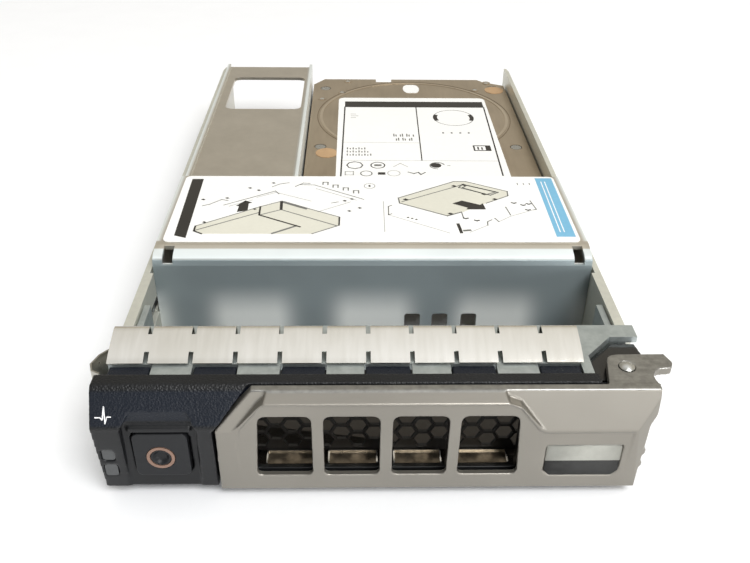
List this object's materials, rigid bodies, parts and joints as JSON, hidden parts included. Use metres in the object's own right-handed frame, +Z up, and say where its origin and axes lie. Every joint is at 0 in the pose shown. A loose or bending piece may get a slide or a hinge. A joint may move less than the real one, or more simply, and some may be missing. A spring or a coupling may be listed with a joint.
{
  "type": "hard disk drive in a hot-swap carrier",
  "caption": "Small hard disk drive on a sheet-metal adapter bracket in a hot-swap carrier with a vented swing-out release lever, push button and spring-finger gasket.",
  "frame": {"origin": "on the base plane, under the middle of the whole assembly's box", "axes": "+X to the right seen from the front, +Y from the front lever to the rear connector, +Z up"},
  "size_m": [0.1124, 0.1899, 0.0284],
  "materials": {
    "black_plastic": "fine textured moulding, slight sheen",
    "grey_lever": "warm grey metallic satin coat",
    "zinc": "pale zinc plate, satin",
    "bright_nickel": "bright rolled spring strip",
    "rail_steel": "plated sheet, satin",
    "galvanised": "galvanised sheet with a soft spangle",
    "dark_steel": "black coated screen",
    "screw_steel": "bright plated",
    "spring_steel": "bare spring steel",
    "copper": "copper, matt",
    "clear_plastic": "smoked clear light guide",
    "label_white": "white printed film",
    "label_grey": "two-tone silver film",
    "cast_base": "coated die casting",
    "bronze_cover": "bronze-brown satin pressed lid",
    "platter_mirror": "polished disc",
    "aluminium": "machined",
    "magnet_plate": "nickel plated",
    "board_green": "green solder mask",
    "seal_rubber": "matt",
    "ramp_plastic": "moulded"
  },
  "bodies": {
    "carrier": {"left_rail": "rail_steel", "right_rail": "rail_steel", "left_rivet": "screw_steel", "right_rivet": "screw_steel", "front_frame": "zinc", "floor_pan": "dark_steel", "bezel": "black_plastic", "hinge_housing": "black_plastic", "vent_screen": "dark_steel", "emi_gasket": "bright_nickel", "ground_spring": "spring_steel", "lever_pin": "screw_steel", "lever_spring": "spring_steel", "button_spring": "spring_steel", "light_pipe_upper": "clear_plastic", "light_pipe_lower": "clear_plastic", "adapter_bracket": "galvanised", "bracket_label": "label_white", "drive_base": "cast_base", "drive_cover": "bronze_cover", "cover_gasket": "seal_rubber", "drive_label": "label_white", "spindle_stator": "copper", "actuator_pivot": "screw_steel", "magnet_plate_lower": "magnet_plate", "magnet_plate_upper": "magnet_plate", "load_ramp": "ramp_plastic", "circuit_board": "board_green", "sas_connector": "black_plastic", "breather_filter": "label_white", "bracket_screw_1": "screw_steel", "bracket_screw_2": "screw_steel", "bracket_screw_3": "screw_steel", "drive_screw_1": "screw_steel", "drive_screw_2": "screw_steel", "drive_screw_3": "screw_steel", "drive_screw_4": "screw_steel", "cover_screw_1": "screw_steel", "cover_screw_2": "screw_steel", "cover_screw_3": "screw_steel", "cover_screw_4": "screw_steel", "cover_screw_5": "screw_steel", "cover_screw_6": "screw_steel"},
    "lever": {"lever": "grey_lever", "lever_label": "label_grey"},
    "button": {"release_button": "black_plastic", "button_ring": "copper"},
    "latch": {"latch": "black_plastic"},
    "spindle": {"spindle_hub": "aluminium", "platter_1": "platter_mirror", "platter_2": "platter_mirror", "platter_3": "platter_mirror", "platter_spacer_1": "aluminium", "platter_spacer_2": "aluminium", "disk_clamp": "aluminium"},
    "actuator": {"actuator_arm": "aluminium", "voice_coil": "copper"}
  },
  "joints": [
    {"name": "lever_hinge", "type": "hinge", "parent": "carrier", "child": "lever", "pos_m": [0.0471, -0.0855, 0.0135], "axis": [0, 0, 1], "range_deg": [0, 60]},
    {"name": "button_press", "type": "slide", "parent": "carrier", "child": "button", "axis": [0, 1, 0], "range_m": [0, 0.002], "stiffness_N_per_m": 400, "springref_m": -0.001, "deforming": ["button_spring"]},
    {"name": "latch_slide", "type": "slide", "parent": "carrier", "child": "latch", "axis": [-1, 0, 0], "range_m": [0, 0.002]},
    {"name": "spindle_spin", "type": "hinge", "parent": "carrier", "child": "spindle", "pos_m": [0.0156, 0.0595, 0.011], "axis": [0, 0, 1], "continuous": true},
    {"name": "actuator_swing", "type": "hinge", "parent": "carrier", "child": "actuator", "pos_m": [0.03, 0.016, 0.011], "axis": [0, 0, -1], "range_deg": [0, 31]}
  ],
  "couplings": [
    {"joint": "latch_slide", "follows": "button_press", "ratio": 1}
  ]
}
